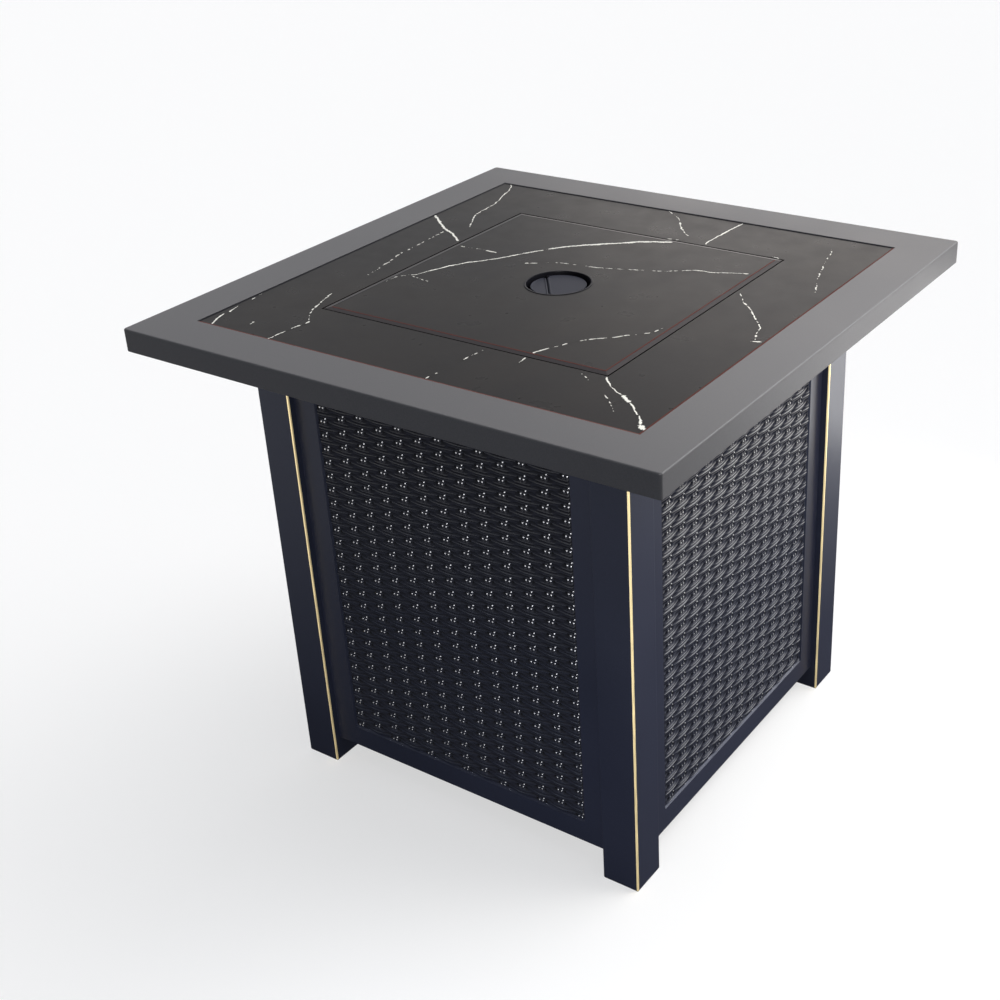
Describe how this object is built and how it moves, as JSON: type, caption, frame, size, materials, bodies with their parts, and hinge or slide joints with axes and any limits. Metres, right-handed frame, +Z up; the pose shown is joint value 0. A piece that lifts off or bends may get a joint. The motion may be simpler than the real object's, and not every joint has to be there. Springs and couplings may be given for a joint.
{
  "type": "gas fire pit table",
  "caption": "Square gas fire pit table with a lift-off lid over a burner pan and rock grate, pressed side panels and a rear access door.",
  "frame": {"origin": "on the floor, at the middle of the four feet", "axes": "+Z up; -Y the front, +X the right side, +Y the rear with the controls and the door"},
  "size_m": [0.71, 0.71, 0.6206],
  "materials": {
    "frame_grey": "satin grey powder coat",
    "lid_grey": "satin dark grey powder coat",
    "marble_print": "gloss black marble print with white veins",
    "gold_trim": "pale gold anodised",
    "body_navy": "satin near-black blue powder coat",
    "black_plastic": "matt",
    "knob_black": "matt",
    "button_red": "gloss",
    "pad_rubber": "matt",
    "galvanised": "zinc coated",
    "stainless": "brushed",
    "handle_grey": "satin die-cast",
    "pull_steel": "satin",
    "grate_iron": "black",
    "lava": null,
    "ceramic": null,
    "gas_brass": "machined",
    "tube_aluminium": "drawn"
  },
  "bodies": {
    "table": {"air_mixer": "stainless", "bottom_rail_front": "galvanised", "bottom_rail_left": "galvanised", "bottom_rail_rear": "galvanised", "bottom_rail_right": "galvanised", "burner_nut": "stainless", "burner_pan": "stainless", "burner_ring": "stainless", "catch_magnet": "black_plastic", "control_panel": "body_navy", "electrode_bracket": "galvanised", "feed_tube": "tube_aluminium", "foot_glide_front_left": "black_plastic", "foot_glide_front_right": "black_plastic", "foot_glide_rear_left": "black_plastic", "foot_glide_rear_right": "black_plastic", "front_panel": "body_navy", "heat_shield": "galvanised", "hinge_pins": "stainless", "hinge_plate": "galvanised", "igniter_body": "black_plastic", "ignition_electrode": "ceramic", "lava_rocks": "lava", "left_panel": "body_navy", "lid_seat": "galvanised", "pan_screws": "stainless", "post_front_left": "body_navy", "post_front_right": "body_navy", "post_rear_left": "body_navy", "post_rear_right": "body_navy", "post_trim_front_left": "gold_trim", "post_trim_front_right": "gold_trim", "post_trim_rear_left": "gold_trim", "post_trim_rear_right": "gold_trim", "right_panel": "body_navy", "rock_grate": "grate_iron", "support_plate": "galvanised", "tabletop_frame": "frame_grey", "tabletop_skirt": "frame_grey", "tank_collar": "galvanised", "tank_shelf": "galvanised", "thermocouple": "stainless", "tile_ring": "marble_print", "top_rail_front": "galvanised", "top_rail_left": "galvanised", "top_rail_rear": "galvanised", "top_rail_right": "galvanised", "valve_body": "gas_brass"},
    "lid": {"lid_tray": "lid_grey", "lid_tile": "marble_print", "lid_pads": "pad_rubber", "handle_cup": "handle_grey", "grip_pin": "stainless"},
    "grip": {"lid_grip": "handle_grey"},
    "door": {"access_door": "body_navy", "door_pull": "pull_steel", "catch_strike": "galvanised"},
    "spindle": {"valve_stem": "stainless"},
    "knob": {"control_knob": "knob_black"},
    "button": {"igniter_button": "button_red"}
  },
  "joints": [
    {"name": "lid_lift", "type": "slide", "parent": "table", "child": "lid", "axis": [0, 0, 1], "range_m": [0, 0.25]},
    {"name": "grip_rock", "type": "hinge", "parent": "lid", "child": "grip", "pos_m": [-0.00788, -0.00616, 0.613], "axis": [0.6157, -0.788, 0], "range_deg": [0, 50]},
    {"name": "door_swing", "type": "hinge", "parent": "table", "child": "door", "pos_m": [-0.199, 0.2419, 0.25], "axis": [0, 0, 1], "range_deg": [0, 100]},
    {"name": "spindle_push", "type": "slide", "parent": "table", "child": "spindle", "axis": [0, -1, 0], "range_m": [0, 0.004], "stiffness_N_per_m": 800, "springref_m": -0.003},
    {"name": "knob_turn", "type": "hinge", "parent": "spindle", "child": "knob", "pos_m": [0, 0.26, 0.538], "axis": [0, 1, 0], "range_deg": [0, 180]},
    {"name": "button_press", "type": "slide", "parent": "table", "child": "button", "axis": [0, -1, 0], "range_m": [0, 0.005], "stiffness_N_per_m": 600, "springref_m": -0.004}
  ]
}
